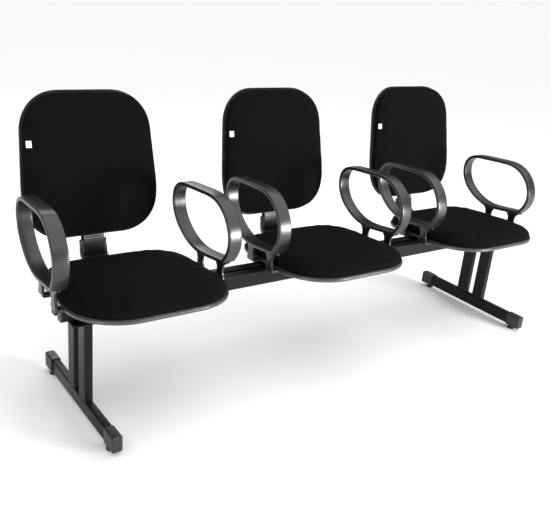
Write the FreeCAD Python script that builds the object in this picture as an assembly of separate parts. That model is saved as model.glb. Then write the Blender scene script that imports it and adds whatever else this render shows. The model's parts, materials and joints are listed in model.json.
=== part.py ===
import FreeCAD, Part
import math
import os

from FreeCAD import Placement, Rotation, Vector

# A bench of three upholstered seats on a beam of two steel tubes, with two pedestal legs.
# X runs along the beam, the front is -Y and Z is up. Sizes are in millimetres.
# While the pieces are made, Y is counted from the middle of a seat and Z from the floor.
# A seat with its back and arms is drawn level and then tipped back on the beam as one.

# Layout
seat_pitch = 700.0
leg_spacing = 1730.0
beam_setback = 16.0
seat_rake = 2.2
fit = 0.15
chord_angle = 10.0
bar_sides = 12

# Cutters reach past both faces by the overcut, or are larger than any piece
overcut = 1.0
ample = 1000.0
tolerance = 0.001

# Levelling glides
pad_diameter = 30.0
pad_height = 8.0
pad_rim = 3.5
pad_taper = 4.5
pad_sides = 24
pad_floor = 2.7
stud_diameter = 8.0
stud_running_gap = 0.05
stud_end_gap = 0.2
stud_top = 40.0
glide_nut_height = 6.5
glide_nut_flats = 13.0
collar_height = 3.4
collar_stop_gap = 0.3
glide_from_tip = 42.0

# Feet and columns
foot_length = 536.0
foot_width = 25.0
foot_height = 44.0
column_depth = 50.0
column_gap = 32.0
leg_wall = 1.5
leg_corner = 3.0
cap_length = 60.0
cap_wall = 3.0
cap_end = 6.0
cap_corner = 4.0
cap_nose_chamfer = 3.5
top_plate_thickness = 4.0
top_plate_width = 92.0
top_plate_overhang = 7.0
top_plate_corner = 10.0
leg_bolt_spread = 62.0

# Beam
beam_overhang = 65.0
beam_tube_width = 30.0
beam_tube_height = 50.0
beam_tube_gap = 18.0
beam_wall = 2.0
beam_corner = 4.0
beam_top = 362.0
plug_head = 3.0
plug_depth = 18.0

# Seat
seat_width = 486.0
seat_depth = 453.0
seat_front_corner = 150.0
seat_rear_corner = 120.0
seat_rear_taper = 14.0
board_thickness = 12.0
seat_foam = 30.0
trim_wall = 3.0
seat_plate_thickness = 4.0
saddle_height = 6.2
seat_plate_width = 170.0
seat_plate_front = 50.0
seat_plate_rear = 84.0
seat_plate_corner = 14.0
seat_screw_inset = 18.0

# Foam, as (rise, inset) of the tuck at its foot and of each step of its crown, from the edge in
cushion_tuck = (5.0, 3.0)
seat_crown = [(8.5, 8.0), (5.0, 20.0), (2.5, 48.0)]
back_crown = [(6.0, 7.0), (3.5, 18.0), (2.0, 42.0)]

# Back
back_width = 438.0
back_top_taper = 19.5
back_bottom_taper = 15.5
back_height = 446.0
back_top_corner = 122.0
back_side_radius = 350.0
back_bottom_corner = 118.0
back_widest_above_bottom = 138.0
back_gap = 30.8
back_setback = 340.0
back_recline = 8.6
back_bow = 18.0
bow_chords = 4
slab_margin = 12.0
back_board_rear = 22.0
back_foam = 43.0

# Blade and sleeve
blade_width = 76.0
blade_thickness = 6.0
blade_bend_radius = 20.0
blade_lap = 70.0
blade_bolt_shares = (0.28, 0.72)
blade_top_below_middle = 70.0
sleeve_width = 88.0
sleeve_face_width = 68.0
sleeve_wall = 3.5
sleeve_front = 9.0
sleeve_foot = 94.0
sleeve_below_back = 1.0
sleeve_post_foot = 40.0
sleeve_lip = 1.2
sleeve_lip_height = 9.0
back_screw_from_top = 20.0
back_screw_rise = 64.0

# Arms
arm_offset = 256.0
arm_toe_out = 2.0
arm_bottom = 420.0
band_width = 45.0
band_thickness = 12.0
band_edge_chamfer = 3.0
lug_thickness = 8.0
lug_width = 46.0
lug_positions = (-41.0, 72.0)
lug_reach = 66.0
lug_corner = 17.0
lug_bend = 5.0
lug_stock = 48.0
lug_screw_from_end = 20.0

# Tag
tag_width = 16.0
tag_height = 20.0
tag_thickness = 0.8
tag_above_middle = 70.0

# Fasteners, as diameter, head across flats and head height
small_screw = (6.0, 10.0, 4.0)
large_bolt = (8.0, 13.0, 5.3)
hole_clearance = 0.4
screw_depth_in_board = 9.0
bolt_end_gap = 0.5
leg_bolt_length = 14.0

# Levels and places that follow
foot_clearance = pad_height + stud_end_gap + collar_height + collar_stop_gap
foot_bottom = foot_clearance + cap_wall
foot_top = foot_bottom + foot_height
beam_length = leg_spacing + 2 * beam_overhang
beam_bottom = beam_top - beam_tube_height
top_plate_bottom = beam_bottom - top_plate_thickness
board_bottom = beam_top + saddle_height
plate_bottom = board_bottom - seat_plate_thickness
board_top = board_bottom + board_thickness
back_middle_height = board_top + seat_foam + back_gap + back_height / 2
tube_offset = (beam_tube_width + beam_tube_gap) / 2
column_offset = (column_depth + column_gap) / 2
plate_front = beam_setback - tube_offset - beam_tube_width / 2 - seat_plate_front
plate_rear = beam_setback + tube_offset + beam_tube_width / 2 + seat_plate_rear
lug_bottom = board_bottom - lug_thickness
seat_centres = {"left": -seat_pitch, "middle": 0.0, "right": seat_pitch}


def rounded_outline(corners, grow=0.0):
    """A closed outline in the XY plane from (x, y, radius) corners, grown outwards by an even distance.

    Its round stretches are chords of the arcs, none of which turns by more than the chord angle.
    """
    points = []
    for index, (x, y, radius) in enumerate(corners):
        corner = Vector(x, y, 0)
        before = Vector(*corners[index - 1][:2], 0) - corner
        after = Vector(*corners[(index + 1) % len(corners)][:2], 0) - corner
        before.normalize()
        after.normalize()
        half = before.getAngle(after) / 2
        inward = before + after
        inward.normalize()
        if not radius:
            points.append(corner - inward * (grow / math.sin(half)))
            continue
        centre = corner + inward * (radius / math.sin(half))
        start = corner + before * (radius / math.tan(half)) - centre
        sweep = math.pi - 2 * half
        if start.cross(corner - centre).z < 0:
            sweep = -sweep
        steps = max(1, math.ceil(abs(math.degrees(sweep)) / chord_angle))
        for step in range(steps + 1):
            spoke = Rotation(Vector(0, 0, 1), math.degrees(sweep) * step / steps).multVec(start)
            points.append(centre + spoke * ((radius + grow) / radius))
    return Part.makePolygon(points + points[:1])


def mirrored(half):
    """Corners on the +X side, from the lowest up, continued by their mirror images."""
    return half + [(-x, y, radius) for x, y, radius in reversed(half)]


def mirrored_points(half):
    return half + [(-x, y) for x, y in reversed(half)]


def polygon(points):
    return Part.makePolygon([Vector(x, y, 0) for x, y in points + points[:1]])


def rectangle(width, depth, cut=0.0):
    """A rectangle about the origin in the XY plane, with its corners cut off straight where asked."""
    x, y = width / 2, depth / 2
    half = [(x, -y + cut), (x, y - cut)]
    if cut:
        half = [(x - cut, -y)] + half + [(x - cut, y)]
    return polygon(half + [(-px, py) for px, py in reversed(half)])


def prism(outline, height, at=Vector(0, 0, 0)):
    solid = Part.Face(outline).extrude(Vector(0, 0, height))
    solid.translate(at)
    return solid


def regular_prism(sides, radius, height, at):
    """A prism with its corners at a radius about a vertical axis."""
    turns = [math.tau * step / sides for step in range(sides)]
    outline = polygon([(radius * math.cos(turn), radius * math.sin(turn)) for turn in turns])
    return prism(outline, height, at)


def hexagon_prism(flats, height, at):
    return regular_prism(6, flats / math.sqrt(3), height, at)


def round_bar(diameter, height, at):
    """A round bar in few faces, inside its diameter."""
    return regular_prism(bar_sides, diameter / 2, height, at)


def round_bore(diameter, height, at):
    """A round hole in few faces, outside its diameter."""
    return regular_prism(bar_sides, diameter / 2 / math.cos(math.pi / bar_sides), height, at)


def tube(width, depth, wall, corner, length):
    """A rectangular tube of even wall that stands on the XY plane."""
    inner_corner = corner - (2 - math.sqrt(2)) * wall
    inside = rectangle(width - 2 * wall, depth - 2 * wall, inner_corner)
    return prism(rectangle(width, depth, corner), length).cut(prism(inside, length))


def level_edges(shape, height):
    """The edges that lie flat at one height."""
    edges = []
    for edge in shape.Edges:
        box = edge.BoundBox
        if abs(box.ZMin - height) < tolerance and abs(box.ZMax - height) < tolerance:
            edges.append(edge)
    return edges


def banded(corners, levels):
    """A solid of flat bands between outlines one above the other, from (height, how far it is drawn in)."""
    rings = []
    for height, inset in levels:
        outline = rounded_outline(corners, -inset)
        rings.append([vertex.Point + Vector(0, 0, height) for vertex in outline.OrderedVertexes])
    faces = []
    for low, high in zip(rings, rings[1:]):
        for index in range(len(low)):
            corner_points = [low[index - 1], low[index], high[index], high[index - 1]]
            faces.append(Part.Face(Part.makePolygon(corner_points + corner_points[:1])))
    for ring in (rings[0], rings[-1]):
        faces.append(Part.Face(Part.makePolygon(ring + ring[:1])))
    solid = Part.makeSolid(Part.makeShell(faces))
    solid.fix(tolerance, tolerance, tolerance)
    return solid


def crowned_pad(corners, height, tuck, crown):
    """A soft pad raised on an outline. Its tuck at the foot and each step of its crown are (rise, inset)."""
    level = height - sum(rise for rise, inset in crown)
    levels = [(0.0, tuck[1]), (tuck[0], 0.0), (level, 0.0)]
    drawn_in = 0.0
    for rise, inset in crown:
        level += rise
        drawn_in += inset
        levels.append((level, drawn_in))
    return banded(corners, levels)


def lay_along_x(shape):
    """Turns local X to Y, local Y to Z and local Z to X."""
    placed = shape.copy()
    turn = Rotation(Vector(0, 1, 0), Vector(0, 0, 1), Vector(1, 0, 0))
    placed.Placement = Placement(Vector(0, 0, 0), turn)
    return placed


def lay_along_y(shape):
    """Turns local Z to Y and keeps local X, so that local Y points down."""
    placed = shape.copy()
    placed.Placement = Placement(Vector(0, 0, 0), Rotation(Vector(1, 0, 0), -90))
    return placed


def screw(size, length):
    """A hexagon screw whose head hangs below the XY plane and whose shank, kept six-sided, points up."""
    diameter, flats, head = size
    shank = hexagon_prism(diameter, length, Vector(0, 0, 0))
    return hexagon_prism(flats, head, Vector(0, 0, -head)).fuse(shank)


def screw_hole(size, depth, at):
    return hexagon_prism(size[0] + 2 * hole_clearance, depth, at)


def copies(shape, places):
    group = []
    for place in places:
        group.append(shape.translated(place))
    return group


def at_level(shape, places, height):
    return copies(shape, [place + Vector(0, 0, height) for place in places])


def raked(shape):
    """Tips a level seat group back about the middle of the seat, at the foot of its board."""
    placed = shape.copy()
    placed.rotate(Vector(0, 0, board_bottom), Vector(1, 0, 0), -seat_rake)
    return placed


def lean_back(shape):
    """Moves a shape from the upright frame of a back to its place on a seat."""
    placed = shape.copy()
    middle = Vector(0, back_setback, back_middle_height)
    turn = Placement(middle, Rotation(Vector(1, 0, 0), -back_recline))
    placed.Placement = turn.multiply(placed.Placement)
    return placed


# Legs

def glide_pad():
    base = Vector(0, 0, 0)
    body = regular_prism(pad_sides, pad_diameter / 2, pad_height, base)
    body = body.makeChamfer(pad_height - pad_rim, pad_taper, level_edges(body, pad_height))
    socket = Vector(0, 0, pad_floor)
    return body.cut(round_bore(stud_diameter + 2 * stud_running_gap, pad_height, socket))


def glide_stud():
    """A stud that turns in the blind socket of its pad, with a hexagon for the spanner above the pad."""
    low = pad_floor + stud_end_gap
    shaft = round_bar(stud_diameter, stud_top - low, Vector(0, 0, low))
    return shaft.fuse(hexagon_prism(glide_nut_flats, collar_height, Vector(0, 0, pad_height + stud_end_gap)))


def glide_nut():
    low = Vector(0, 0, foot_bottom + leg_wall)
    bore = round_bore(stud_diameter + 2 * stud_running_gap, glide_nut_height, low)
    return hexagon_prism(glide_nut_flats, glide_nut_height, low).cut(bore)


def glide_places(leg_x):
    reach = foot_length / 2 - glide_from_tip
    return {
        "front": Vector(leg_x, beam_setback - reach, 0),
        "rear": Vector(leg_x, beam_setback + reach, 0),
    }


def foot_tube(leg_x):
    length = foot_length - 2 * cap_end
    level = foot_bottom + foot_height / 2
    body = lay_along_y(tube(foot_width, foot_height, leg_wall, leg_corner, length))
    body.translate(Vector(leg_x, beam_setback - length / 2, level))
    for place in glide_places(leg_x).values():
        low = place + Vector(0, 0, foot_bottom - leg_wall)
        body = body.cut(hexagon_prism(stud_diameter + 2 * hole_clearance, 3 * leg_wall, low))
    return body


def foot_cap():
    """The front cap, with its tip at Y = 0 and its middle at the height of the tube."""
    width = foot_width + 2 * cap_wall
    height = foot_height + 2 * cap_wall
    body = prism(rectangle(width, height, cap_corner), cap_length)
    body = lay_along_y(body.makeChamfer(cap_nose_chamfer, level_edges(body, 0.0)))
    socket = rectangle(foot_width + 2 * fit, foot_height + 2 * fit)
    body = body.cut(lay_along_y(prism(socket, cap_length)).translated(Vector(0, cap_end, 0)))
    bore = hexagon_prism(stud_diameter + 2 * hole_clearance, height, Vector(0, glide_from_tip, -height))
    return body.cut(bore)


def foot_caps():
    level = foot_bottom + foot_height / 2
    front = foot_cap().translated(Vector(0, beam_setback - foot_length / 2, level))
    rear = foot_cap()
    rear.rotate(Vector(0, 0, 0), Vector(0, 0, 1), 180)
    rear.translate(Vector(0, beam_setback + foot_length / 2, level))
    sides = (Vector(-leg_spacing / 2, 0, 0), Vector(leg_spacing / 2, 0, 0))
    return Part.makeCompound(copies(front, sides) + copies(rear, sides))


def column(leg_x, side):
    body = tube(foot_width, column_depth, leg_wall, leg_corner, top_plate_bottom - foot_top)
    body.translate(Vector(leg_x, beam_setback + side * column_offset, foot_top))
    return body


def leg_bolt_places(leg_x):
    places = []
    for x in (-leg_bolt_spread / 2, leg_bolt_spread / 2):
        for side in (-1, 1):
            places.append(Vector(leg_x + x, beam_setback + side * tube_offset, 0))
    return places


def top_plate(leg_x):
    depth = 2 * (column_offset + column_depth / 2 + top_plate_overhang)
    body = prism(rectangle(top_plate_width, depth, top_plate_corner), top_plate_thickness)
    body.translate(Vector(leg_x, beam_setback, top_plate_bottom))
    for place in leg_bolt_places(leg_x):
        body = body.cut(screw_hole(large_bolt, top_plate_thickness, place + Vector(0, 0, top_plate_bottom)))
    return body


def make_legs(pieces):
    for name, leg_x in (("left", -leg_spacing / 2), ("right", leg_spacing / 2)):
        pieces[name + "_foot_tube"] = foot_tube(leg_x)
        pieces[name + "_front_column"] = column(leg_x, -1)
        pieces[name + "_rear_column"] = column(leg_x, 1)
        pieces[name + "_leg_top_plate"] = top_plate(leg_x)
        for end, place in glide_places(leg_x).items():
            pieces[f"{name}_{end}_glide_pad"] = glide_pad().translated(place)
            pieces[f"{name}_{end}_glide_stud"] = glide_stud().translated(place)
    pieces["foot_caps"] = foot_caps()
    nuts = []
    bolts = []
    for leg_x in (-leg_spacing / 2, leg_spacing / 2):
        nuts += copies(glide_nut(), glide_places(leg_x).values())
        bolts += at_level(screw(large_bolt, leg_bolt_length), leg_bolt_places(leg_x), top_plate_bottom)
    pieces["glide_nuts"] = Part.makeCompound(nuts)
    pieces["leg_bolts"] = Part.makeCompound(bolts)


# Beam

def beam_tube(side):
    body = tube(beam_tube_height, beam_tube_width, beam_wall, beam_corner, beam_length)
    body.rotate(Vector(0, 0, 0), Vector(0, 1, 0), 90)
    level = beam_bottom + beam_tube_height / 2
    body.translate(Vector(-beam_length / 2, beam_setback + side * tube_offset, level))
    low = Vector(0, 0, beam_bottom - overcut)
    for leg_x in (-leg_spacing / 2, leg_spacing / 2):
        for place in leg_bolt_places(leg_x):
            body = body.cut(screw_hole(large_bolt, beam_wall + 2 * overcut, place + low))
    return body


def beam_plug():
    """A plug for an end at +X, with its head outside the tube and a collar inside it."""
    inner_width = beam_tube_width - 2 * beam_wall - 2 * fit
    inner_height = beam_tube_height - 2 * beam_wall - 2 * fit
    head = prism(rectangle(beam_tube_height, beam_tube_width, beam_corner), plug_head)
    collar = tube(inner_height, inner_width, beam_wall, beam_corner, plug_depth)
    plug = head.fuse(collar.translated(Vector(0, 0, -plug_depth)))
    plug.rotate(Vector(0, 0, 0), Vector(0, 1, 0), 90)
    return plug


def make_beam(pieces):
    pieces["front_beam_tube"] = beam_tube(-1)
    pieces["rear_beam_tube"] = beam_tube(1)
    level = beam_bottom + beam_tube_height / 2
    plugs = []
    for side in (-1, 1):
        right = beam_plug().translated(Vector(beam_length / 2, beam_setback + side * tube_offset, level))
        plugs.append(right)
        plugs.append(right.mirror(Vector(0, 0, 0), Vector(1, 0, 0)))
    pieces["beam_end_plugs"] = Part.makeCompound(plugs)


# Seats

def seat_corners():
    front = (seat_width / 2, -seat_depth / 2, seat_front_corner)
    rear = (seat_width / 2 - seat_rear_taper, seat_depth / 2, seat_rear_corner)
    return mirrored([front, rear])


def seat_cushion():
    pad = crowned_pad(seat_corners(), seat_foam, cushion_tuck, seat_crown)
    return pad.translated(Vector(0, 0, board_top))


def seat_screw_places():
    x = seat_plate_width / 2 - seat_screw_inset
    near = plate_front + seat_screw_inset
    far = plate_rear - seat_screw_inset
    return [Vector(side * x, y, 0) for side in (-1, 1) for y in (near, far)]


def blade_bolt_places():
    start = plate_rear - blade_lap
    return [Vector(0, start + share * blade_lap, 0) for share in blade_bolt_shares]


def arm_screw_places():
    places = []
    x = arm_offset - lug_reach + lug_screw_from_end
    for y in lug_positions:
        for side in (-1, 1):
            places.append(toed_out(Vector(side * x, y, 0), side))
    return places


def seat_board():
    return prism(rounded_outline(seat_corners()), board_thickness, Vector(0, 0, board_bottom))


def seat_trim():
    outside = prism(rounded_outline(seat_corners(), trim_wall), board_thickness)
    inside = prism(rounded_outline(seat_corners()), board_thickness)
    return outside.cut(inside).translated(Vector(0, 0, board_bottom))


def seat_plate():
    """A pressed plate that carries the board, with a saddle below it that fills the rake over the beam."""
    width = seat_plate_width
    plate = prism(rectangle(width, plate_rear - plate_front, seat_plate_corner), seat_plate_thickness)
    plate.translate(Vector(0, (plate_rear + plate_front) / 2, plate_bottom))
    low = Vector(0, 0, plate_bottom)
    for place in seat_screw_places():
        plate = plate.cut(screw_hole(small_screw, seat_plate_thickness, place + low))
    for place in blade_bolt_places():
        plate = plate.cut(screw_hole(large_bolt, seat_plate_thickness, place + low))
    beam_depth = 2 * tube_offset + beam_tube_width
    saddle = prism(rectangle(width, beam_depth), 2 * saddle_height, Vector(0, beam_setback, beam_top))
    above = prism(rectangle(ample, ample), ample, Vector(0, 0, plate_bottom))
    return raked(plate).fuse(saddle.cut(raked(above))).removeSplitter()


# Backs, drawn upright: X across, Y to the rear, Z up, with the middle of the back at the origin

def back_corners():
    half = back_width / 2
    high = back_height / 2
    return mirrored([
        (half - back_bottom_taper, -high, back_bottom_corner),
        (half, back_widest_above_bottom - high, back_side_radius),
        (half - back_top_taper, high, back_top_corner),
    ])


def back_outline(grow=0.0):
    """The outline of the back in the XZ plane, where local Y becomes up."""
    outline = rounded_outline(back_corners(), grow)
    outline.Placement = Placement(Vector(0, 0, 0), Rotation(Vector(1, 0, 0), 90))
    return outline


def bowed_slab(front, thickness):
    """A slab wider and higher than the back, which comes forward at both sides."""
    half = back_width / 2 + slab_margin
    high = back_height / 2 + slab_margin
    line = []
    for step in range(-bow_chords, bow_chords + 1):
        x = half * step / bow_chords
        line.append((x, front - back_bow * (2 * x / back_width) ** 2))
    rear = [(x, y + thickness) for x, y in reversed(line)]
    return prism(polygon(line + rear), 2 * high, Vector(0, 0, -high))


def through(outline):
    """The outline of a back, as a prism that runs right through it from front to rear."""
    body = Part.Face(outline).extrude(Vector(0, ample, 0))
    body.translate(Vector(0, -ample / 2, 0))
    return body


def back_board():
    front = back_board_rear - board_thickness
    return through(back_outline()).common(bowed_slab(front, board_thickness))


def back_trim():
    front = back_board_rear - board_thickness
    body = through(back_outline(trim_wall)).common(bowed_slab(front, board_thickness))
    return body.cut(through(back_outline()))


def back_cushion():
    rear = back_board_rear - board_thickness
    pad = crowned_pad(back_corners(), back_foam, (back_bow, cushion_tuck[1]), back_crown)
    pad.Placement = Placement(Vector(0, rear, 0), Rotation(Vector(1, 0, 0), 90))
    return pad.cut(bowed_slab(rear, back_foam))


def back_screw_places():
    """On the rear face of the board, in the frame of the back."""
    top = -blade_top_below_middle - back_screw_from_top
    return [Vector(0, back_board_rear, z) for z in (top, top - back_screw_rise)]


def back_screws():
    """Screws that point forward through the blade into the board."""
    shape = screw(small_screw, screw_depth_in_board + blade_thickness)
    shape.rotate(Vector(0, 0, 0), Vector(1, 0, 0), 90)
    return [shape.translated(place + Vector(0, blade_thickness, 0)) for place in back_screw_places()]


def blade_side(grow_inside, grow_outside, lap, below_top, bend):
    """The side view of the L-shaped blade, as an outline in YZ drawn in local XY, grown on each side."""
    lean = math.radians(back_recline)
    up = Vector(math.sin(lean), math.cos(lean), 0)
    rearward = Vector(math.cos(lean), -math.sin(lean), 0)
    middle = Vector(back_setback, back_middle_height, 0)
    front = middle + rearward * (back_board_rear - grow_inside)
    rear = middle + rearward * (back_board_rear + blade_thickness + grow_outside)
    high = plate_bottom + grow_inside
    low = plate_bottom - blade_thickness - grow_outside
    front_foot = front - up * ((front.y - high) / up.y)
    rear_foot = rear - up * ((rear.y - low) / up.y)
    start = lap
    top_front = front - up * below_top
    top_rear = rear - up * below_top
    inner = bend - grow_inside
    outer = bend + blade_thickness + grow_outside
    return rounded_outline([
        (start, low, 0.0), (rear_foot.x, low, outer), (top_rear.x, top_rear.y, 0.0),
        (top_front.x, top_front.y, 0.0), (front_foot.x, high, inner), (start, high, 0.0),
    ])


def centred_on_x(outline, width):
    return lay_along_x(prism(outline, width)).translated(Vector(-width / 2, 0, 0))


def back_blade():
    side = blade_side(0.0, 0.0, plate_rear - blade_lap, blade_top_below_middle, blade_bend_radius)
    body = centred_on_x(side, blade_width)
    depth = blade_thickness + 2 * overcut
    low = Vector(0, 0, plate_bottom - blade_thickness - overcut)
    for place in blade_bolt_places():
        body = body.cut(screw_hole(large_bolt, depth, place + low))
    for place in back_screw_places():
        hole = lay_along_y(screw_hole(small_screw, depth, Vector(0, 0, 0)))
        body = body.cut(lean_back(hole.translated(place - Vector(0, overcut, 0))))
    return body


def blade_sleeve():
    """A boot round the bend of the blade, with a faceted front above the seat."""
    top = back_height / 2 + trim_wall + sleeve_below_back
    start = back_setback - sleeve_foot
    shell = centred_on_x(blade_side(sleeve_wall, sleeve_wall, start, top, blade_bend_radius), sleeve_width)
    half = sleeve_width / 2
    face = sleeve_face_width / 2
    front = back_board_rear - sleeve_front
    rear = back_board_rear + blade_thickness + sleeve_wall
    height = back_middle_height - top - plate_bottom - sleeve_post_foot
    section = polygon(mirrored_points([(face, front), (half, back_board_rear), (half, rear)]))
    post = prism(section, height, Vector(0, 0, -top - height))
    band = rectangle(sleeve_face_width, 2 * sleeve_lip)
    lip = prism(band, sleeve_lip_height, Vector(0, front, -top - sleeve_lip_height - sleeve_below_back))
    body = shell.fuse(lean_back(post.fuse(lip)))
    hollow = blade_side(fit, fit, start - overcut, top - overcut, blade_bend_radius)
    return body.cut(centred_on_x(hollow, blade_width + 2 * fit))


def tag():
    """A small blank label that lies on the second step of the crown, beside the edge at -X."""
    first_inset = back_crown[0][1]
    rise, inset = back_crown[1]
    last_rise = back_crown[2][0]
    line = Part.makeLine(Vector(0, tag_above_middle, 0), Vector(back_width, tag_above_middle, 0))
    side = Part.Face(rounded_outline(back_corners())).common(line).BoundBox.XMax
    surface = back_board_rear - board_thickness - back_foam + last_rise + rise / 2
    low = Vector(-tag_width / 2, -tag_thickness - fit, -tag_height / 2)
    body = Part.makeBox(tag_width, tag_thickness, tag_height, low)
    body.rotate(Vector(0, 0, 0), Vector(0, 0, 1), -math.degrees(math.atan2(rise, inset)))
    return body.translated(Vector(first_inset + inset / 2 - side, surface, tag_above_middle))


# Arms, drawn for the right-hand side with the middle of the band at X = 0

arm_profile = [
    (-83.0, 13.0, 22.0),
    (-130.0, 76.0, 82.0),
    (-83.0, 213.0, 127.0),
    (223.0, 208.0, 58.0),
    (222.0, 90.0, 118.0),
    (107.0, 0.0, 60.0),
]


def toed_out(point, side):
    """A point in the frame of a seat after the arm on that side is turned out a little at the front."""
    pivot = Vector(side * arm_offset, 0, 0)
    turn = Rotation(Vector(0, 0, 1), side * arm_toe_out)
    return pivot + turn.multVec(point - pivot)


def arm_band():
    edge = band_edge_chamfer
    ring = banded(arm_profile, [(0.0, edge), (edge, 0.0), (band_width - edge, 0.0), (band_width, edge)])
    inside = prism(rounded_outline(arm_profile, -band_thickness), band_width)
    low = Vector(-band_width / 2, 0, arm_bottom)
    return lay_along_x(ring.cut(inside)).translated(low), lay_along_x(inside).translated(low)


def arm_lug(y):
    """A strap that drops from the band outside the seat and turns in under the board.

    It starts higher than the foot of the loop and is cut off inside it.
    """
    outer = lug_thickness / 2
    top = arm_bottom + lug_stock
    strap = polygon([
        (outer - lug_bend, lug_bottom), (outer, lug_bottom + lug_bend), (outer, top), (-outer, top),
        (-outer, board_bottom), (-lug_reach, board_bottom), (-lug_reach, lug_bottom),
    ])
    body = Part.Face(strap).extrude(Vector(0, 0, lug_width))
    body.Placement = Placement(Vector(0, y + lug_width / 2, 0), Rotation(Vector(1, 0, 0), 90))
    side = rounded_outline([
        (y - lug_width / 2, lug_bottom, lug_corner), (y + lug_width / 2, lug_bottom, lug_corner),
        (y + lug_width / 2, top, 0.0), (y - lug_width / 2, top, 0.0),
    ])
    body = body.common(centred_on_x(side, ample))
    hole_at = Vector(lug_screw_from_end - lug_reach, y, lug_bottom)
    return body.cut(screw_hole(small_screw, lug_thickness, hole_at))


def arm(side):
    ring, hole = arm_band()
    body = ring
    for y in lug_positions:
        body = body.fuse(arm_lug(y).cut(hole))
    body = body.removeSplitter()
    if side < 0:
        body = body.mirror(Vector(0, 0, 0), Vector(1, 0, 0))
    body.rotate(Vector(0, 0, 0), Vector(0, 0, 1), side * arm_toe_out)
    return body.translated(Vector(side * arm_offset, 0, 0))


def make_seats(pieces):
    shapes = {
        "seat_cushion": raked(seat_cushion()),
        "seat_board": raked(seat_board()),
        "seat_edge_trim": raked(seat_trim()),
        "seat_plate": seat_plate(),
        "back_cushion": raked(lean_back(back_cushion())),
        "back_board": raked(lean_back(back_board())),
        "back_edge_trim": raked(lean_back(back_trim())),
        "back_blade": raked(back_blade()),
        "blade_sleeve": raked(blade_sleeve()),
        "left_arm": raked(arm(-1)),
        "right_arm": raked(arm(1)),
    }
    plate_screw = screw(small_screw, seat_plate_thickness + screw_depth_in_board)
    lug_screw = screw(small_screw, lug_thickness + screw_depth_in_board)
    blade_bolt = screw(large_bolt, blade_thickness + seat_plate_thickness - bolt_end_gap)
    blade_bottom = plate_bottom - blade_thickness
    groups = {
        "seat_screws": at_level(plate_screw, seat_screw_places(), plate_bottom),
        "arm_screws": at_level(lug_screw, arm_screw_places(), lug_bottom),
        "blade_bolts": at_level(blade_bolt, blade_bolt_places(), blade_bottom),
        "back_screws": [lean_back(shape) for shape in back_screws()],
        "back_tags": [lean_back(tag())],
    }
    for name, centre in seat_centres.items():
        for piece, shape in shapes.items():
            pieces[f"{name}_{piece}"] = shape.translated(Vector(centre, 0, 0))
    for name, group in groups.items():
        solids = []
        for centre in seat_centres.values():
            solids += [raked(shape).translated(Vector(centre, 0, 0)) for shape in group]
        pieces[name] = Part.makeCompound(solids)


def depth_middle(pieces):
    """The middle of the whole bench from front to rear, measured on its faceted surface."""
    depths = []
    for shape in pieces.values():
        points = shape.tessellate(0.1)[0]
        depths += [min(point.y for point in points), max(point.y for point in points)]
    return (min(depths) + max(depths)) / 2


def main():
    pieces = {}
    make_legs(pieces)
    make_beam(pieces)
    make_seats(pieces)
    os.makedirs("parts", exist_ok=True)
    to_middle = Vector(0, -depth_middle(pieces), 0)
    for name, shape in pieces.items():
        shape.translated(to_middle).exportStep(os.path.join("parts", name + ".step"))
    print("shift", to_middle.y, "nodes", len(pieces))
    for name, shape in pieces.items():
        if not shape.isValid():
            print("not valid:", name)


main()
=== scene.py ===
import json
import math

import bmesh
import bpy
import numpy as np
from mathutils import Matrix, Vector


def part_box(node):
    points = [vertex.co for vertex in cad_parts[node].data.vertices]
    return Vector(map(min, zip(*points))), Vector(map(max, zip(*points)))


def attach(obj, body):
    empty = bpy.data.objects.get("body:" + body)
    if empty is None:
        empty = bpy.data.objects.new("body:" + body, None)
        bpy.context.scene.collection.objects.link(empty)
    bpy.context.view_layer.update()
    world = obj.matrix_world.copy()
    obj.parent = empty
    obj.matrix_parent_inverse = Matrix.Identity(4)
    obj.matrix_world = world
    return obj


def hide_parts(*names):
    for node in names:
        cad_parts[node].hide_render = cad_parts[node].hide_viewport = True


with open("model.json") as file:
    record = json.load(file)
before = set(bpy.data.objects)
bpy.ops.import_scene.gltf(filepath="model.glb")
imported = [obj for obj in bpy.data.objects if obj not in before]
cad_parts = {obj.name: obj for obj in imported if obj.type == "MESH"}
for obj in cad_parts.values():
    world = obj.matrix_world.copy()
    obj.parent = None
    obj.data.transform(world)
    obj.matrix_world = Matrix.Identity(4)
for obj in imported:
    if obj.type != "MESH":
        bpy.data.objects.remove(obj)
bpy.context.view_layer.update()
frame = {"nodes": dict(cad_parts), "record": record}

# A bench of three upholstered seats on a twin-tube beam. Shapes are drawn in millimetres in the frame
# of one seat or one back, as the source draws them, and set down in metres.
MM = 0.001

SEATS = {"left": -0.7, "middle": 0.0, "right": 0.7}
SEAT_RAKE = math.radians(2.2)
BACK_RECLINE = math.radians(8.6)
BOARD_BOTTOM = 368.2
BOARD = 12.0
BOARD_TOP = BOARD_BOTTOM + BOARD
BEAM_SETBACK = 16.0

SEAT_CORNERS = [(243.0, -226.5, 150.0), (229.0, 226.5, 120.0)]
BACK_CORNERS = [(203.5, -223.0, 118.0), (219.0, -85.0, 350.0), (199.5, 223.0, 122.0)]
BACK_PLACE = (340.0, 664.0)
BACK_BOARD_FRONT = 10.0
BACK_HALF_WIDTH = 219.0
BACK_BOW = 18.0
BACK_FOAM = 43.0
TRIM = 3.0
TRIM_HEIGHT = 9.0
TUCK = 6.0
SWELL_LIMIT = 4.5
CLOTH_FRAMES = 20

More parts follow.
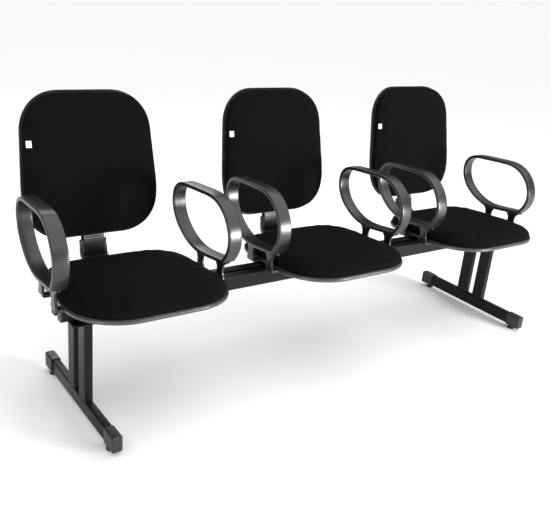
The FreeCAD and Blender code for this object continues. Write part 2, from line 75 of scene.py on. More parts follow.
ARM_OFFSET = 256.0
ARM_TOE_OUT = math.radians(2.0)
ARM_BOTTOM = 420.0
ARM_PROFILE = [
    (-83.0, 13.0, 22.0),
    (-130.0, 76.0, 82.0),
    (-83.0, 213.0, 127.0),
    (223.0, 208.0, 58.0),
    (222.0, 90.0, 118.0),
    (107.0, 0.0, 200.0),
]
BAND_WIDTH = 45.0
BAND = 12.0
LUG = 8.0
LUG_HALF = 23.0
LUG_NECK = 15.0
LUG_PLACES = (-41.0, 72.0)
LUG_REACH = 66.0
LUG_CORNER = 17.0
LUG_BEND = 7.0
LUG_FLARE = 30.0
LUG_SPREAD_FROM = 12.0
LUG_SPREAD_OVER = 22.0
LUG_TIP_CORNER = 14.0

SLEEVE_HALF = 44.0
SLEEVE_TOP = -227.0
SLEEVE_NECK = 10.0
SLEEVE_STANDOFF = 9.0
SLEEVE_WALL = 3.5
SLEEVE_CUT = 40.0
RIM_HALF = (32.0, 4.4)
RIM_DROP = 5.6
BLADE = 6.0
BACK_BOARD_REAR = 22.0

# The camera of the photograph: yaw, pitch and roll in degrees, place in metres
CAMERA_TURN = (37.0518, -21.2154, 5.4576)
CAMERA_PLACE = (-1.54983, -1.86265, 1.24542)
CAMERA_SENSOR = 36
PHOTO_FOCAL_PIXELS = 728.534
PHOTO_WIDTH_PIXELS = 551
CAMERA_LENS = PHOTO_FOCAL_PIXELS / PHOTO_WIDTH_PIXELS * CAMERA_SENSOR

# The spacing of the cover's yarns in metres, and how far a wave texture of scale one turns in a metre
YARN_SPACING = 0.0011
WAVE_RADIANS = 20


def beam_middle():
    """The middle of the beam from front to rear, which places every seat."""
    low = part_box("front_beam_tube")[0]
    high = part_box("rear_beam_tube")[1]
    return (low[1] + high[1]) / 2


SEAT_Y = beam_middle() - BEAM_SETBACK * MM


def seat_matrix(centre):
    """From the level frame of a seat, in millimetres, to its raked place on the beam."""
    pivot = Vector((0, 0, BOARD_BOTTOM))
    rake = Matrix.Translation(pivot) @ Matrix.Rotation(-SEAT_RAKE, 4, "X") @ Matrix.Translation(-pivot)
    return Matrix.Translation((centre, SEAT_Y, 0)) @ Matrix.Scale(MM, 4) @ rake


def back_matrix(centre):
    """From the frame of a back, in millimetres, to its leaning place above its seat."""
    lean = Matrix.Translation((0, *BACK_PLACE)) @ Matrix.Rotation(-BACK_RECLINE, 4, "X")
    return seat_matrix(centre) @ lean


# Outlines

def rounded(corners, step=3.0):
    """Points round a closed outline of straight runs and arcs, given as (x, y, radius) corners."""
    points = []
    count = len(corners)
    for i, (x, y, radius) in enumerate(corners):
        corner = np.array([x, y])
        before = np.array(corners[i - 1][:2]) - corner
        after = np.array(corners[(i + 1) % count][:2]) - corner
        before = before / np.linalg.norm(before)
        after = after / np.linalg.norm(after)
        half = math.acos(np.clip(before @ after, -1, 1)) / 2
        inward = (before + after) / np.linalg.norm(before + after)
        centre = corner + inward * radius / math.sin(half)
        first = corner + before * radius / math.tan(half) - centre
        last = corner + after * radius / math.tan(half) - centre
        start = math.atan2(first[1], first[0])
        sweep = (math.atan2(last[1], last[0]) - start + math.pi) % math.tau - math.pi
        steps = max(2, int(abs(sweep) * radius / step))
        for k in range(steps + 1):
            turn = start + sweep * k / steps
            points.append(centre + radius * np.array([math.cos(turn), math.sin(turn)]))
    return np.array(points)


def even(points, count, ease=0.0):
    """The same closed line as evenly spaced points, with its changes of curvature eased over a distance."""
    closed = np.vstack([points, points[:1]])
    lengths = np.concatenate([[0], np.cumsum(np.linalg.norm(np.diff(closed, axis=0), axis=1))])
    at = np.linspace(0, lengths[-1], count, endpoint=False)
    line = np.stack([np.interp(at, lengths, closed[:, k]) for k in range(closed.shape[1])], 1)
    if ease:
        spread = ease / (lengths[-1] / count)
        reach = int(3 * spread) + 1
        weights = np.exp(-0.5 * (np.arange(-reach, reach + 1) / spread) ** 2)
        weights /= weights.sum()
        line = sum(w * np.roll(line, k, axis=0) for k, w in zip(range(-reach, reach + 1), weights))
    return line


def normals_of(line):
    """Outward normals of a closed line that runs anticlockwise."""
    along = np.roll(line, -1, axis=0) - np.roll(line, 1, axis=0)
    along /= np.linalg.norm(along, axis=1)[:, None]
    return np.stack([along[:, 1], -along[:, 0]], 1)


def anticlockwise(line):
    """The same line, turned round where it runs clockwise."""
    x, y = line[:, 0], line[:, 1]
    area = np.sum(x * np.roll(y, -1) - y * np.roll(x, -1))
    return line if area > 0 else line[::-1]


def mirrored(half):
    """Corners on the +X side, continued by their mirror images."""
    return half + [(-x, y, radius) for x, y, radius in reversed(half)]


# Meshes

def make(name, vertices, faces, matrix, smooth=True):
    mesh = bpy.data.meshes.new(name)
    mesh.from_pydata([tuple(v) for v in vertices], [], [tuple(f) for f in faces])
    mesh.transform(matrix)
    mesh.validate()
    mesh.update()
    obj = bpy.data.objects.new(name, mesh)
    bpy.context.scene.collection.objects.link(obj)
    tidy_normals(mesh)
    if smooth:
        mesh.shade_smooth()
    return obj


def tidy_normals(mesh):
    work = bmesh.new()
    work.from_mesh(mesh)
    bmesh.ops.recalc_face_normals(work, faces=work.faces)
    work.to_mesh(mesh)
    work.free()


def skin(rings, loop=False):
    """Faces between rings of equal length. The rings are stacked, or go round a loop."""
    count = len(rings[0])
    vertices = np.vstack(rings)
    faces = []
    total = len(rings)
    last = total if loop else total - 1
    for r in range(last):
        a, b = r * count, ((r + 1) % total) * count
        for k in range(count):
            n = (k + 1) % count
            faces.append((a + k, a + n, b + n, b + k))
    if not loop:
        faces.append(tuple(range(count))[::-1])
        faces.append(tuple(range((total - 1) * count, total * count)))
    return vertices, faces


def section(width, thickness, radius, crown=0.0, arc=5, flat=6):
    """A closed section with rounded corners and slightly domed faces, as (across, through) points."""
    w, t = width / 2 - radius, thickness / 2 - radius
    points = []
    for cx, cy, start in ((w, t, 0), (-w, t, 90), (-w, -t, 180), (w, -t, 270)):
        for k in range(arc + 1):
            turn = math.radians(start + 90 * k / arc)
            points.append([cx + radius * math.cos(turn), cy + radius * math.sin(turn)])
        if start in (0, 180):
            sign = 1 if start == 0 else -1
            for k in range(1, flat):
                points.append([sign * w * (1 - 2 * k / flat), sign * thickness / 2])
    points = np.array(points)
    dome = np.clip(1 - (points[:, 0] / (width / 2)) ** 2, 0, 1)
    points[:, 1] += np.sign(points[:, 1]) * crown * dome
    return points


def apply_modifiers(obj):
    """Gives an object the mesh that its modifiers make of it."""
    graph = bpy.context.evaluated_depsgraph_get()
    mesh = bpy.data.meshes.new_from_object(obj.evaluated_get(graph), depsgraph=graph)
    obj.modifiers.clear()
    old, obj.data = obj.data, mesh
    bpy.data.meshes.remove(old)
    return obj


def join(name, objs):
    """One object from the meshes of several, which are removed."""
    work = bmesh.new()
    for obj in objs:
        work.from_mesh(obj.data)
    mesh = bpy.data.meshes.new(name)
    work.to_mesh(mesh)
    work.free()
    mesh.shade_smooth()
    for obj in objs:
        bpy.data.objects.remove(obj)
    joined = bpy.data.objects.new(name, mesh)
    bpy.context.scene.collection.objects.link(joined)
    return joined


# Materials

class Look:
    """A small helper that strings shader nodes together."""

    def __init__(self, name):
        self.material = bpy.data.materials.new(name)
        self.material.use_nodes = True
        self.nodes = self.material.node_tree.nodes
        self.links = self.material.node_tree.links
        self.shader = next(n for n in self.nodes if n.type == "BSDF_PRINCIPLED")
        self.place = self.nodes.new("ShaderNodeTexCoord").outputs["Object"]

    def node(self, kind, inputs=(), **settings):
        node = self.nodes.new(kind)
        for key, value in settings.items():
            setattr(node, key, value)
        for key, value in dict(inputs).items():
            socket = node.inputs[key]
            if isinstance(value, bpy.types.NodeSocket):
                self.links.new(value, socket)
            else:
                socket.default_value = value
        return node

    def noise(self, scale, detail, roughness=0.5, vector=None, distortion=0.0):
        inputs = {"Vector": vector or self.place, "Scale": scale, "Detail": detail,
                  "Roughness": roughness, "Distortion": distortion}
        return self.node("ShaderNodeTexNoise", inputs).outputs["Fac"]

    def stretch(self, scale):
        inputs = {"Vector": self.place, "Scale": scale}
        return self.node("ShaderNodeMapping", inputs).outputs["Vector"]

    def wave(self, direction, scale, distortion):
        inputs = {"Vector": self.place, "Scale": scale, "Distortion": distortion,
                  "Detail": 1.0, "Detail Scale": 2.0}
        return self.node("ShaderNodeTexWave", inputs, wave_type="BANDS", bands_direction=direction,
                         wave_profile="SIN").outputs["Fac"]

    def math(self, operation, a, b=0.0, c=None):
        inputs = {0: a, 1: b}
        if c is not None:
            inputs[2] = c
        return self.node("ShaderNodeMath", inputs, operation=operation).outputs[0]

    def ramp(self, value, low, high, at=(0.0, 1.0)):
        node = self.node("ShaderNodeValToRGB", {"Fac": value})
        first, last = node.color_ramp.elements
        first.position, last.position = at
        first.color = (*low, 1)
        last.color = (*high, 1)
        return node.outputs["Color"]

    def span(self, value, low, high):
        inputs = {"Value": value, "To Min": low, "To Max": high}
        return self.node("ShaderNodeMapRange", inputs).outputs["Result"]

    def bump(self, height, distance, strength=1.0, normal=None):
        inputs = {"Height": height, "Distance": distance, "Strength": strength}
        if normal is not None:
            inputs["Normal"] = normal
        return self.node("ShaderNodeBump", inputs).outputs["Normal"]

    def finish(self, color, roughness, normal=None, **plain):
        """Links or sets the main values of the shader. Other values are given by name and are plain."""
        for key, value in (("Base Color", color), ("Roughness", roughness), ("Normal", normal)):
            if isinstance(value, bpy.types.NodeSocket):
                self.links.new(value, self.shader.inputs[key])
            elif value is not None:
                self.shader.inputs[key].default_value = value
        for key, value in plain.items():
            self.shader.inputs[key.replace("_", " ")].default_value = value
        return self.material


def grey(value, tint=0.0):
    return (value * (1 - tint), value, value * (1 + tint))


def fabric(name, across, along, dark, light):
    """Tight black upholstery cloth: a close weave of two yarns with a little melange."""
    look = Look(name)
    pitch = math.tau / WAVE_RADIANS / YARN_SPACING
    warp = look.wave(across, pitch, 0.4)
    weft = look.wave(along, pitch, 0.4)
    weave = look.math("MAXIMUM", warp, weft)
    crossing = look.math("MULTIPLY", warp, weft)
    cloudy = look.noise(9.0, 3.0)
    yarn = look.noise(900.0, 2.0)
    shade = look.math("MULTIPLY_ADD", yarn, 0.45, look.math("MULTIPLY", cloudy, 0.3))
    shade = look.math("ADD", shade, look.math("MULTIPLY", crossing, 0.25))
    color = look.ramp(shade, grey(dark, 0.02), grey(light, 0.02), (0.25, 0.8))
    rough = look.span(yarn, 0.82, 0.95)
    soft = look.bump(look.noise(14.0, 3.0), 0.0012, 0.35)
    normal = look.bump(weave, 0.00025, 0.55, soft)
    return look.finish(color, rough, normal,
                       Sheen_Weight=0.006, Sheen_Roughness=0.5, Specular_IOR_Level=0.05)


def moulded(name, base, low, high, grain=0.00004, grain_scale=900.0, level=0.5):
    """Moulded plastic with a fine even grain, slightly cloudy in its gloss."""
    look = Look(name)
    fine = look.noise(grain_scale, 3.0)
    cloudy = look.noise(7.0, 2.0)
    color = look.ramp(cloudy, grey(base * 0.85), grey(base * 1.15), (0.3, 0.7))
    mixed = look.math("MULTIPLY_ADD", fine, 0.35, look.math("MULTIPLY", cloudy, 0.65))
    rough = look.span(mixed, low, high)
    normal = look.bump(fine, grain, 0.5)
    return look.finish(color, rough, normal, Specular_IOR_Level=level)


def coated(name, base, low, high):
    """Powder coat on steel: satin, with a shallow orange peel."""
    look = Look(name)
    peel = look.noise(420.0, 2.0, 0.4)
    cloudy = look.noise(5.0, 3.0)
    speck = look.noise(2600.0, 1.0)
    mixed = look.math("MULTIPLY_ADD", speck, 0.3, look.math("MULTIPLY", cloudy, 0.7))
    color = look.ramp(mixed, grey(base * 0.8, 0.01), grey(base * 1.25, 0.01), (0.3, 0.75))
    rough = look.span(cloudy, low, high)
    normal = look.bump(peel, 0.00012, 0.35)
    return look.finish(color, rough, normal, Specular_IOR_Level=0.16)


def zinc(name):
    """Bright zinc plate, brushed along Z."""
    look = Look(name)
    brushed = look.noise(700.0, 3.0, vector=look.stretch((1, 1, 0.15)))
    color = look.ramp(look.noise(60.0, 2.0), grey(0.42, 0.02), grey(0.58, 0.02), (0.3, 0.7))
    return look.finish(color, look.span(brushed, 0.28, 0.5), look.bump(brushed, 0.00003, 0.4), Metallic=1.0)


def plywood(name):
    """Beech plywood stained black, with its grain along X."""
    look = Look(name)
    grain = look.noise(260.0, 5.0, 0.6, look.stretch((0.06, 1, 1)), 0.4)
    bands = look.noise(24.0, 2.0, 0.5, look.stretch((0.1, 1, 1)))
    shade = look.math("MULTIPLY_ADD", grain, 0.6, look.math("MULTIPLY", bands, 0.4))
    color = look.ramp(shade, (0.012, 0.010, 0.009), (0.055, 0.047, 0.042), (0.3, 0.75))
    return look.finish(color, look.span(grain, 0.5, 0.7), look.bump(grain, 0.0001, 0.4))


def label(name):
    """Plain white woven tape."""
    look = Look(name)
    fibres = look.noise(1500.0, 3.0)
    color = look.ramp(fibres, grey(0.74), grey(0.86), (0.3, 0.7))
    return look.finish(color, 0.55, look.bump(fibres, 0.00004, 0.4))


LOOKS = {
    "seat_fabric": fabric("seat_fabric", "X", "Y", 0.0022, 0.0055),
    "back_fabric": fabric("back_fabric", "X", "Z", 0.0022, 0.0055),
    "arm": moulded("arm_plastic", 0.013, 0.26, 0.35, level=0.7),
    "edge_trim": moulded("trim_plastic", 0.03, 0.22, 0.32, level=0.9),
    # The back's bead is the same plastic as the seat's bead, in a darker copy: its lower base colour is
    # painted shade, so that the backs' edges read black.
    "back_trim": moulded("back_trim_plastic_painted_shade", 0.010, 0.5, 0.62, level=0.25),
    "sleeve": moulded("sleeve_plastic", 0.018, 0.36, 0.48, 0.00008, 700.0),
    # The rim is part of the dark sleeve moulding; its light grey is a painted highlight for the light its
    # raised edges catch.
    "rim": moulded("rim_painted_highlight", 0.42, 0.25, 0.35, level=0.9),
    "cap": moulded("cap_plastic", 0.012, 0.38, 0.5, 0.00006, 800.0),
    "frame": coated("powder_coat", 0.006, 0.30, 0.42),
    "board": plywood("stained_plywood"),
    "fastener": zinc("zinc_steel"),
    "tag": label("plain_label"),
}


def paint(obj, look):
    obj.data.materials.clear()
    obj.data.materials.append(LOOKS[look])


def set_up(obj, look, slot, *nodes):
    """Gives a piece of the bench its finish, sets it on the bench and hides the CAD nodes it stands for."""
    paint(obj, look)
    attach(obj, "bench")
    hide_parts(*nodes)


# Camera, floor and light

def make_camera():
    """Stands the camera where the photograph was taken from."""
    yaw, pitch, roll = (math.radians(v) for v in CAMERA_TURN)
    forward = Vector((math.sin(yaw) * math.cos(pitch), math.cos(yaw) * math.cos(pitch), math.sin(pitch)))
    right = Vector((math.cos(yaw), -math.sin(yaw), 0))
    up = right.cross(forward)
    across = right * math.cos(roll) + up * math.sin(roll)
    upward = -right * math.sin(roll) + up * math.cos(roll)
    turn = Matrix((across, upward, -forward)).transposed().to_4x4()
    data = bpy.data.cameras.new("camera")
    data.lens = CAMERA_LENS
    data.sensor_width = CAMERA_SENSOR
    data.sensor_fit = "HORIZONTAL"
    camera = bpy.data.objects.new("camera", data)
    camera.matrix_world = Matrix.Translation(CAMERA_PLACE) @ turn
    bpy.context.scene.collection.objects.link(camera)
    bpy.context.scene.camera = camera


def make_floor():
    """A wide pale floor, a hair below the pads."""
    size = 300.0
    corners = [(-size, -size, 0), (size, -size, 0), (size, size, 0), (-size, size, 0)]
    floor = make("floor", corners, [(0, 1, 2, 3)], Matrix.Translation((0, 0, -0.0002)), smooth=False)
    look = Look("floor_paint")
    look.finish(look.ramp(look.noise(3.0, 2.0), grey(0.93), grey(0.945)), 0.8, Specular_IOR_Level=0.2)
    floor.data.materials.append(look.material)


def make_light():
    """A pale surround, brightest at the horizon, with a soft sun and three low lamps."""
    world = bpy.data.worlds.new("studio")
    world.use_nodes = True
    nodes, links = world.node_tree.nodes, world.node_tree.links
    sky = nodes["Background"]
    sky.inputs["Strength"].default_value = 1.0
    direction = nodes.new("ShaderNodeTexCoord").outputs["Generated"]
    parts = nodes.new("ShaderNodeSeparateXYZ")
    ramp = nodes.new("ShaderNodeValToRGB")
    first, last = ramp.color_ramp.elements
    first.position, last.position = 0.02, 0.16
    first.color, last.color = (0.93, 0.93, 0.93, 1), (0.16, 0.16, 0.16, 1)
    top = ramp.color_ramp.elements.new(0.85)
    top.color = (0.30, 0.30, 0.30, 1)
    links.new(direction, parts.inputs[0])
    links.new(parts.outputs["Z"], ramp.inputs["Fac"])
    links.new(ramp.outputs["Color"], sky.inputs["Color"])
    bpy.context.scene.world = world
    lamps = {
        "overhead": ("SUN", (0.3, -0.9, 4.0), (0, 0, 0), {"energy": 2.5, "angle": math.radians(100)}),
        "low_right": ("AREA", (2.3, -4.0, 0.85), (-0.3, 0, 0.5), {"energy": 260.0, "size": 1.1}),
        "low_left": ("AREA", (-4.4, -2.2, 0.7), (0, 0, 0.4), {"energy": 60.0, "size": 1.2}),
        "rear": ("AREA", (0.8, 3.6, 2.6), (0, 0, 0.5), {"energy": 40.0, "size": 1.8}),
    }
    for name, (kind, place, target, settings) in lamps.items():
        data = bpy.data.lights.new(name, kind)
        for key, value in settings.items():
            setattr(data, key, value)
        light = bpy.data.objects.new(name, data)
        toward = Vector(target) - Vector(place)
        light.rotation_mode = "QUATERNION"
        light.rotation_quaternion = toward.to_track_quat("-Z", "Y")
        light.location = place
        bpy.context.scene.collection.objects.link(light)
    bpy.context.scene.view_settings.view_transform = "Standard"


# Cushions

def cushion_rings(corners, levels, count=220, ease=14.0):
    """Rings of (x, y, height, share) round a pad, from (inset, height) levels."""
    line = even(anticlockwise(rounded(mirrored(corners))), count, ease)
    outward = normals_of(line)
    rings = []
    for inset, height in levels:
        ring = line - outward * inset
        rings.append(np.column_stack([ring, np.full(count, height)]))
    return rings


def closing_rings(ring, height, shares=(0.8, 0.6, 0.4, 0.2, 0.06)):
    """Rings that draw in to the middle, a little higher at each step."""
    middle = ring[:, :2].mean(axis=0)
    rings = []
    for share in shares:
        xy = middle + (ring[:, :2] - middle) * share
        level = ring[0, 2] + height * (1 - share ** 2)
        rings.append(np.column_stack([xy, np.full(len(xy), level)]))
    return rings


def inflate(obj, pin_below, up):
    """Swells a pad by a cloth simulation with its foot held, no point going further than the limit."""
    remesh = obj.modifiers.new("even", "REMESH")
    remesh.mode = "VOXEL"
    remesh.voxel_size = 0.005
    apply_modifiers(obj)
    mesh = obj.data
    count = len(mesh.vertices)
    start = np.empty(count * 3)
    mesh.vertices.foreach_get("co", start)
    start = start.reshape(-1, 3)
    group = obj.vertex_groups.new(name="foot")
    height = start @ np.array(up)
    held = np.where(height < pin_below(start))[0]
    group.add([int(i) for i in held], 1.0, "REPLACE")
    cloth = obj.modifiers.new("swell", "CLOTH")
    cloth.settings.vertex_group_mass = "foot"
    cloth.settings.use_pressure = True
    cloth.settings.uniform_pressure_force = 4.0
    cloth.settings.effector_weights.gravity = 0.0
    cloth.settings.tension_stiffness = 40.0
    cloth.settings.compression_stiffness = 40.0
    cloth.settings.bending_stiffness = 2.0
    cloth.settings.mass = 0.3
    cloth.point_cache.frame_start = 1
    cloth.point_cache.frame_end = CLOTH_FRAMES
    for step in range(1, CLOTH_FRAMES + 1):
        bpy.context.scene.frame_set(step)
    graph = bpy.context.evaluated_depsgraph_get()
    done = obj.evaluated_get(graph).data
    end = np.empty(count * 3)
    done.vertices.foreach_get("co", end)
    move = end.reshape(-1, 3) - start
    length = np.linalg.norm(move, axis=1)
    most = SWELL_LIMIT * MM
    share = most * np.tanh(length / most) / np.maximum(length, 1e-9)
    obj.modifiers.clear()
    obj.vertex_groups.clear()
    start = start + move * share[:, None]
    mesh.vertices.foreach_set("co", start.reshape(-1))
    bpy.context.scene.frame_set(1)
    smooth = obj.modifiers.new("smooth", "SMOOTH")
    smooth.factor = 0.5
    smooth.iterations = 6
    divide = obj.modifiers.new("divide", "SUBSURF")
    divide.levels = 1
    divide.render_levels = 1
    apply_modifiers(obj)
    obj.data.shade_smooth()
    return obj


def seat_pad():
    """The seat's foam and cover: a tucked foot, a soft shoulder and a nearly level top."""
    levels = [
        (40.0, 0.4), (12.0, 0.4), (5.0, 0.4), (3.2, 0.6), (1.4, 2.4), (0.4, 5.0), (0.0, 9.0), (0.4, 13.0),
        (1.8, 16.6), (4.4, 19.8), (8.4, 22.4), (14.0, 24.4), (22.0, 26.0), (34.0, 27.4), (50.0, 28.4),
        (72.0, 29.0),
    ]
    rings = cushion_rings(SEAT_CORNERS, levels)
    rings = closing_rings(rings[0], 0.0)[::-1] + rings + closing_rings(rings[-1], 1.0)
    vertices, faces = skin(rings)
    vertices = vertices + [0, 0, BOARD_TOP]
    pad = make("seat_pad", vertices, faces, Matrix.Scale(MM, 4))
    level = (BOARD_TOP + TUCK) * MM
    return inflate(pad, lambda points: level, (0, 0, 1))


def back_pad():
    """The back's foam and cover, which comes forward with the board at both sides."""
    rise = BACK_FOAM
    levels = [
        (40.0, 0.4), (12.0, 0.4), (5.0, 0.4), (3.2, 0.6), (1.4, 2.4), (0.4, 5.0), (0.0, 9.0),
        (0.0, rise - 17.0), (0.6, rise - 12.6), (2.4, rise - 9.2), (5.4, rise - 6.6), (10.0, rise - 4.7),
        (17.0, rise - 3.3), (28.0, rise - 2.2), (44.0, rise - 1.4), (66.0, rise - 0.9),
    ]
    rings = cushion_rings(BACK_CORNERS, levels)
    rings = closing_rings(rings[0], 0.0)[::-1] + rings + closing_rings(rings[-1], 0.9)
    vertices, faces = skin(rings)
    x, up, height = vertices.T
    bow = BACK_BOW * (x / BACK_HALF_WIDTH) ** 2
    share = np.clip(height / rise, 0, 1)
    depth = height * (1 - bow / rise) + bow
    placed = np.column_stack([x, BACK_BOARD_FRONT - depth, up])
    pad = make("back_pad", placed, faces, Matrix.Scale(MM, 4))

    def foot(points):
        bowed = BACK_BOW * (points[:, 0] / MM / BACK_HALF_WIDTH) ** 2
        return (bowed + TUCK - BACK_BOARD_FRONT) * MM

    return inflate(pad, foot, (0, -1, 0))


def make_cushions():
    """One seat and one back are made and then copied to all three places."""
    for kind, pad, matrix_of, look in (
        ("seat_cushion", seat_pad(), seat_matrix, "seat_fabric"),
        ("back_cushion", back_pad(), back_matrix, "back_fabric"),
    ):
        metres = Matrix.Scale(1 / MM, 4)
        for seat, centre in SEATS.items():
            mesh = pad.data.copy()
            mesh.transform(matrix_of(centre) @ metres)
            node = f"{seat}_{kind}"
            obj = bpy.data.objects.new(node + "_cover", mesh)
            bpy.context.scene.collection.objects.link(obj)
            set_up(obj, look, "upholstery", node)
        bpy.data.objects.remove(pad)


# Edge trims

def seat_trim():
    """A rounded bead of plastic round the seat board, which leaves the top of its edge to the cover."""
    line = even(anticlockwise(rounded(mirrored(SEAT_CORNERS))), 240, 10.0)
    outward = normals_of(line)
    profile = section(TRIM_HEIGHT, TRIM, 1.4, 0.25, 4, 4)
    rings = []
    for point, out in zip(line, outward):
        ring = [[*(point + out * (TRIM / 2 + through)), BOARD_BOTTOM + TRIM_HEIGHT / 2 + across]
                for across, through in profile]
        rings.append(np.array(ring))
    return skin(rings, loop=True)


def back_trim():
    """The bead round the back board, which follows its bow."""
    line = even(anticlockwise(rounded(mirrored(BACK_CORNERS))), 240, 10.0)
    outward = normals_of(line)
    profile = section(BOARD, TRIM, 1.3, 0.25, 4, 4)
    rings = []
    for point, out in zip(line, outward):
        ring = []
        for across, through in profile:
            x, up = point + out * (TRIM / 2 + through)
            middle = BACK_BOARD_FRONT + BOARD / 2 - BACK_BOW * (x / BACK_HALF_WIDTH) ** 2
            ring.append([x, middle + across, up])
        rings.append(np.array(ring))
    return skin(rings, loop=True)


def make_trims():
    for kind, (vertices, faces), matrix_of, look in (
        ("seat_edge_trim", seat_trim(), seat_matrix, "edge_trim"),
        ("back_edge_trim", back_trim(), back_matrix, "back_trim"),
    ):
        for seat, centre in SEATS.items():
            node = f"{seat}_{kind}"
            set_up(make(node + "_bead", vertices, faces, matrix_of(centre)), look, "edge_trim", node)


# Arms

def band_line():
    """The outside of the loop from the side, eased all round except at its corner low at the front."""
    sharp = anticlockwise(rounded(ARM_PROFILE))
    close = even(sharp, 260, 6.0)
    eased = even(sharp, 260, 22.0)
    corner = np.array(ARM_PROFILE[0][:2])
    near = np.exp(-(np.linalg.norm(close - corner, axis=1) / 42.0) ** 2)[:, None]
    return close * near + eased * (1 - near)


def arm_band():
    """The flat band with rounded edges, drawn along the inside of the loop's outline."""
    line = band_line()
    outward = normals_of(line)
    profile = section(BAND_WIDTH, BAND, 3.6, 0.5, 6, 8)
    rings = []
    for point, out in zip(line, outward):
        ring = [[across, *(point + out * (through - BAND / 2))] for across, through in profile]
        rings.append(np.array(ring))
    vertices, faces = skin(rings, loop=True)
    return vertices + [0, 0, ARM_BOTTOM], faces


def fillet(distance, size):
    """How far a rounded inside corner stands out at a distance from the face it joins."""
    share = np.clip(1 - distance / size, 0, 1)
    return size * (1 - math.sqrt(1 - share ** 2))


def arm_lug(centre_y):
    """A strap that flares out of the band, drops outside the seat and turns in under its board."""
    line = band_line()
    low = line[np.argmin(np.abs(line[:, 0] - centre_y) + 1000 * (line[:, 1] > 40))][1] + ARM_BOTTOM
    top = low + BAND * 0.5
    bottom = BOARD_BOTTOM - LUG / 2
    bend = LUG_BEND
    path = [(0.0, z, (1, 0)) for z in np.linspace(top, bottom + bend, 16)]
    for k in range(1, 8):
        turn = math.radians(90 * k / 8)
        path.append((-bend + bend * math.cos(turn), bottom + bend - bend * math.sin(turn),
                     (math.cos(turn), -math.sin(turn))))
    path += [(x, bottom, (0, -1)) for x in np.linspace(-bend, 2 - LUG_REACH, 22)]
    rings = []
    for x, z, (nx, nz) in path:
        below = max(low - z, 0.0)
        foot = min(max((BOARD_TOP + LUG_SPREAD_FROM - z) / LUG_SPREAD_OVER, 0.0), 1.0)
        half = LUG_NECK + fillet(below, LUG_FLARE) + (LUG_HALF - LUG_NECK) * foot * foot * (3 - 2 * foot)
        lift = z - LUG / 2 - (BOARD_BOTTOM - LUG)
        if lift < LUG_CORNER:
            half -= 8.0 * (1 - math.sqrt(max(0.0, 1 - (1 - max(lift, 0) / LUG_CORNER) ** 2)))
        ahead = x + LUG_REACH
        if ahead < LUG_TIP_CORNER:
            half -= 12.0 * (1 - math.sqrt(max(0.0, 1 - (1 - ahead / LUG_TIP_CORNER) ** 2)))
        thick = LUG + 0.5 * fillet(below, 8.0)
        profile = section(2 * half, thick, 2.6, 0.0, 4, 4)
        rings.append(np.array([[x + nx * through, centre_y + across, z + nz * through]
                               for across, through in profile]))
    return skin(rings)


def make_arms():
    band = arm_band()
    lugs = [arm_lug(y) for y in LUG_PLACES]
    for seat, centre in SEATS.items():
        for name, side in (("left", -1), ("right", 1)):
            turn = Matrix.Rotation(side * ARM_TOE_OUT, 4, "Z") @ Matrix.Scale(side, 4, (1, 0, 0))
            place = seat_matrix(centre) @ Matrix.Translation((side * ARM_OFFSET, 0, 0)) @ turn
            pieces = [make("part", vertices, faces, place) for vertices, faces in [band] + lugs]
            node = f"{seat}_{name}_arm"
            set_up(join(node + "_loop", pieces), "arm", "arm", node)


# Sleeves on the blades

def sleeve_post():
    """The upper part of a sleeve: faceted in front, with a narrower neck under the back."""
    levels = [
        (-70.0, 0.0), (-17.0, 0.0), (-15.5, 0.6), (-11.0, SLEEVE_NECK - 0.6),
        (-10.0, SLEEVE_NECK), (-1.0, SLEEVE_NECK), (-0.2, SLEEVE_NECK + 0.6), (0.0, SLEEVE_NECK + 2.0),
    ]
    front = BACK_BOARD_REAR - SLEEVE_STANDOFF
    rear = BACK_BOARD_REAR + BLADE + SLEEVE_WALL
    rings = []
    for below, inset in levels:
        half = SLEEVE_HALF - inset
        face = min(34.0, half - 2.0)
        corners = [(face, front, 3.0), (half, BACK_BOARD_REAR - 2.0, 4.0), (half, rear, 2.0)]
        line = rounded(mirrored(corners), 0.6)
        rings.append(np.array([[x, y, SLEEVE_TOP + below] for x, y in even(line, 96)]))
    return skin(rings)


def sleeve_frame():
    """The raised rim on the neck of a sleeve, a rounded rectangle of thin moulding."""
    half, rise = RIM_HALF
    outline = even(anticlockwise(rounded(mirrored([(half, -rise, 2.0), (half, rise, 2.0)]), 0.5)), 120)
    outward = normals_of(outline)
    profile = section(2.0, 2.2, 0.6, 0.0, 3, 3)
    middle = BACK_BOARD_REAR - SLEEVE_STANDOFF - 0.4
    rings = []
    for point, out in zip(outline, outward):
        ring = []
        for across, through in profile:
            x, up = point + out * across
            ring.append([x, middle - through, up])
        rings.append(np.array(ring))
    vertices, faces = skin(rings, loop=True)
    return vertices + [0, 0, SLEEVE_TOP - RIM_DROP], faces


def make_sleeves():
    """The lower part of a sleeve comes from its node. The part that shows under the back is drawn here."""
    post = sleeve_post()
    rim = sleeve_frame()
    for seat, centre in SEATS.items():
        node = f"{seat}_blade_sleeve"
        place = back_matrix(centre)
        boot = softened(node, 1.2, 14.0)
        work = bmesh.new()
        work.from_mesh(boot.data)
        up = (place.to_3x3() @ Vector((0, 0, 1))).normalized()
        cut = place @ Vector((0, 0, SLEEVE_TOP - SLEEVE_CUT))
        everything = work.verts[:] + work.edges[:] + work.faces[:]
        bmesh.ops.bisect_plane(work, geom=everything, plane_co=cut, plane_no=up, clear_outer=True)
        work.to_mesh(boot.data)
        work.free()
        shell = join(node + "_boot", [boot, make("part", *post, place)])
        set_up(shell, "sleeve", "sleeve", node)
        mark = make(node + "_rim", *rim, place)
        # The rim takes the light grey of a painted highlight.
        paint(mark, "rim")
        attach(mark, "bench")


# Steel and moulded pieces with their sharp edges softened

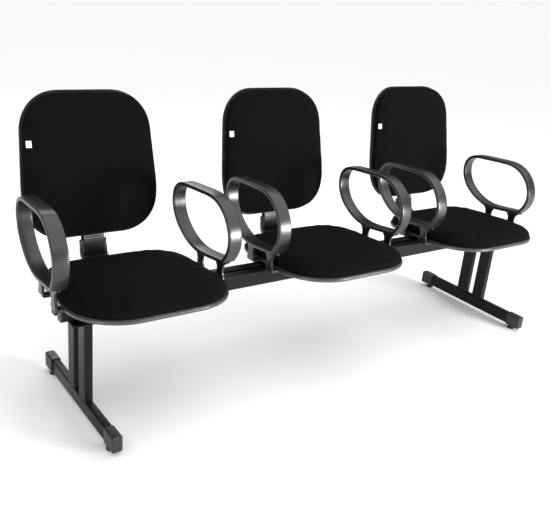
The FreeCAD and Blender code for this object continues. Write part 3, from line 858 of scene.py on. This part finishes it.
def softened(node, width, sharp=24.0):
    """A copy of a flat-faced CAD node, rounded at edges that turn by more than the sharp angle."""
    work = bmesh.new()
    work.from_mesh(frame["nodes"][node].data)
    bmesh.ops.remove_doubles(work, verts=work.verts, dist=1e-6)
    bmesh.ops.dissolve_limit(work, angle_limit=math.radians(0.6), verts=work.verts, edges=work.edges)
    mesh = bpy.data.meshes.new(node + "_shown")
    work.to_mesh(mesh)
    work.free()
    mesh.transform(frame["nodes"][node].matrix_world)
    obj = bpy.data.objects.new(node + "_shown", mesh)
    bpy.context.scene.collection.objects.link(obj)
    bevel = obj.modifiers.new("soften", "BEVEL")
    bevel.width = width * MM
    bevel.segments = 3
    bevel.limit_method = "ANGLE"
    bevel.angle_limit = math.radians(sharp)
    bevel.harden_normals = True
    mesh.shade_smooth()
    return apply_modifiers(obj)


def dress(node, width, look, body="bench"):
    """Softens a node and lets the copy stand for it."""
    obj = softened(node, width)
    paint(obj, look)
    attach(obj, body)
    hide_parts(node)


def make_rigid():
    """The straight pieces of the beam, legs and backs, and the tags."""
    for node in ("front_beam_tube", "rear_beam_tube"):
        dress(node, 1.2, "frame")
    for side in ("left", "right"):
        dress(f"{side}_foot_tube", 1.0, "frame")
        for column in ("front", "rear"):
            dress(f"{side}_{column}_column", 1.0, "frame")
            pad = f"{side}_{column}_glide_pad"
            dress(pad, 0.8, "cap", body=pad)
        dress(f"{side}_leg_top_plate", 0.5, "frame")
    dress("foot_caps", 1.4, "cap")
    dress("beam_end_plugs", 0.5, "cap")
    for seat in SEATS:
        dress(f"{seat}_back_blade", 0.6, "frame")
        dress(f"{seat}_seat_plate", 0.5, "frame")
    dress("back_tags", 0.2, "tag")


def paint_nodes():
    """Every CAD node that still shows gets the finish of its slot."""
    slots = {part["node"]: part["material_slot"] for part in frame["record"]["subparts"]}
    for name, node in frame["nodes"].items():
        if node.hide_render:
            continue
        slot = slots[name]
        look = "seat_fabric" if slot == "upholstery" else slot
        for place in node.material_slots:
            place.material = LOOKS[look]
        if not node.material_slots:
            node.data.materials.append(LOOKS[look])


make_camera()
make_floor()
make_light()
make_cushions()
make_trims()
make_arms()
make_sleeves()
make_rigid()
paint_nodes()
